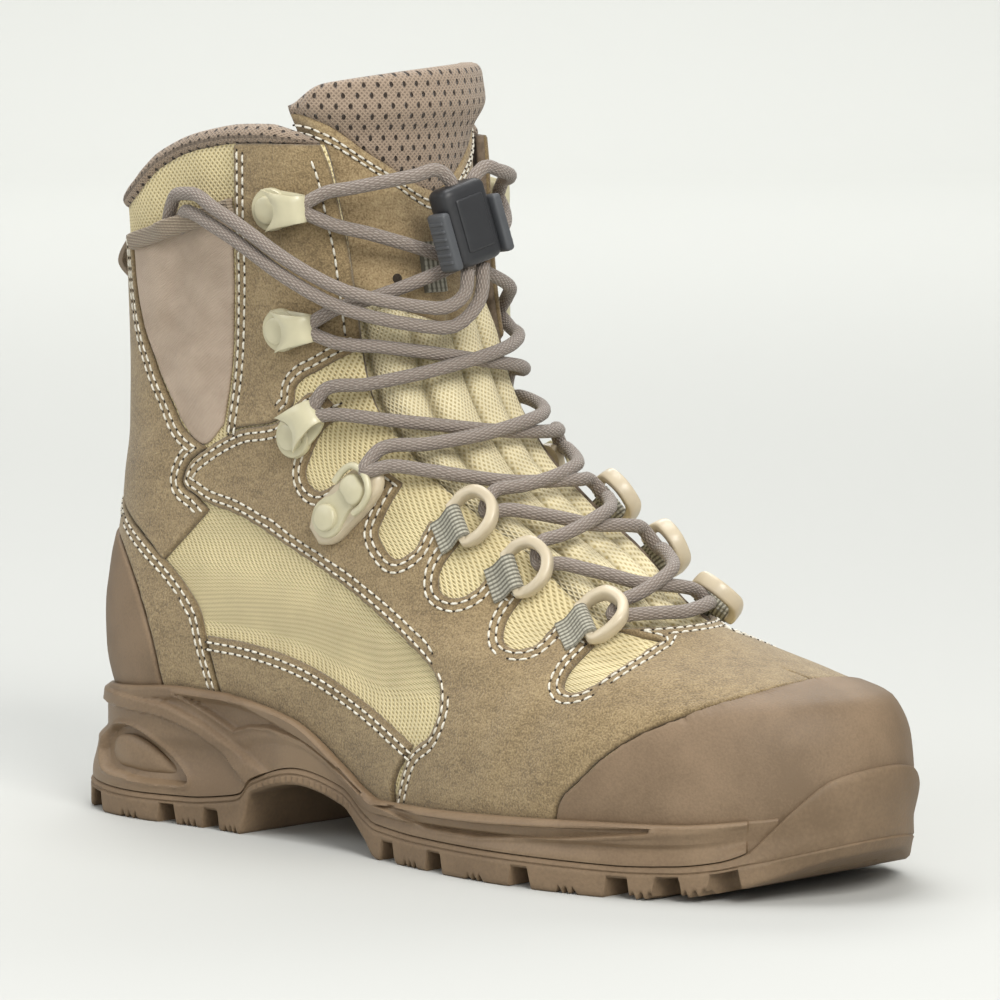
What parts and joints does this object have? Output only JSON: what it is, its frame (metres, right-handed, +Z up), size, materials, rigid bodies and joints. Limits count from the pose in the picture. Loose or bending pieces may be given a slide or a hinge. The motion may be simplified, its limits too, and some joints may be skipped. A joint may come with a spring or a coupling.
{
  "type": "desert boot",
  "caption": "Ankle-high laced desert boot for the right foot, suede and woven textile, toe and heel caps, hooks and rings, lugged rubber sole; stands empty.",
  "frame": {"origin": "on the floor under the middle of the sole", "axes": "+X to the toe, +Y to the inner side of the foot, +Z up"},
  "size_m": [0.3084, 0.1101, 0.2355],
  "materials": {
    "outsole_rubber": "matte moulded rubber",
    "midsole_rubber": "satin moulded foam rubber",
    "insole_fabric": "brushed cloth over foam",
    "woven_textile": "woven nylon, pale sand",
    "suede": "napped suede, tan",
    "rubberised_leather": "smooth coated leather, satin",
    "stretch_fabric": "smooth stretch cloth",
    "padded_mesh": "perforated padded mesh",
    "tongue_fabric": "knit below, suede above",
    "webbing": "checked webbing",
    "hook_enamel": "cream enamel, satin",
    "ring_plastic": "beige moulded plastic",
    "lace": "round braid",
    "lock_plastic": "dark moulded plastic",
    "lock_arm_plastic": "grey moulded plastic"
  },
  "bodies": {
    "root": {"back_quarter": "suede", "collar": "padded_mesh", "cord_lock": "lock_plastic", "d_ring_lateral_1": "ring_plastic", "d_ring_lateral_2": "ring_plastic", "d_ring_lateral_3": "ring_plastic", "d_ring_medial_1": "ring_plastic", "d_ring_medial_2": "ring_plastic", "d_ring_medial_3": "ring_plastic", "eyestay": "suede", "heel_cup": "rubberised_leather", "heel_lens_lateral": "midsole_rubber", "heel_lens_medial": "midsole_rubber", "heel_panel": "suede", "hook_lateral_1": "hook_enamel", "hook_lateral_2": "hook_enamel", "hook_lateral_3": "hook_enamel", "hook_medial_1": "hook_enamel", "hook_medial_2": "hook_enamel", "hook_medial_3": "hook_enamel", "insole": "insole_fabric", "lace_bar": "lace", "lace_cross_1": "lace", "lace_cross_2": "lace", "lace_cross_3": "lace", "lace_cross_4": "lace", "lace_cross_5": "lace", "lace_cross_6": "lace", "lace_end_lower": "lace", "lace_end_upper": "lace", "lace_pocket": "stretch_fabric", "lace_top_lateral": "lace", "lace_top_medial": "lace", "lock_arm_lateral": "lock_arm_plastic", "lock_arm_medial": "lock_arm_plastic", "lock_band_lateral": "hook_enamel", "lock_band_medial": "hook_enamel", "lock_plate_lateral": "hook_enamel", "lock_plate_medial": "hook_enamel", "midsole": "midsole_rubber", "outsole": "outsole_rubber", "pull_loop": "webbing", "ring_webbing_lateral_1": "webbing", "ring_webbing_lateral_2": "webbing", "ring_webbing_lateral_3": "webbing", "ring_webbing_medial_1": "webbing", "ring_webbing_medial_2": "webbing", "ring_webbing_medial_3": "webbing", "shaft_panel_lateral": "suede", "shaft_panel_medial": "suede", "side_panel_lateral": "suede", "side_panel_medial": "suede", "toe_cap": "rubberised_leather", "tongue": "tongue_fabric", "tongue_pad": "padded_mesh", "tongue_tab": "webbing", "upper": "woven_textile"}
  },
  "joints": []
}
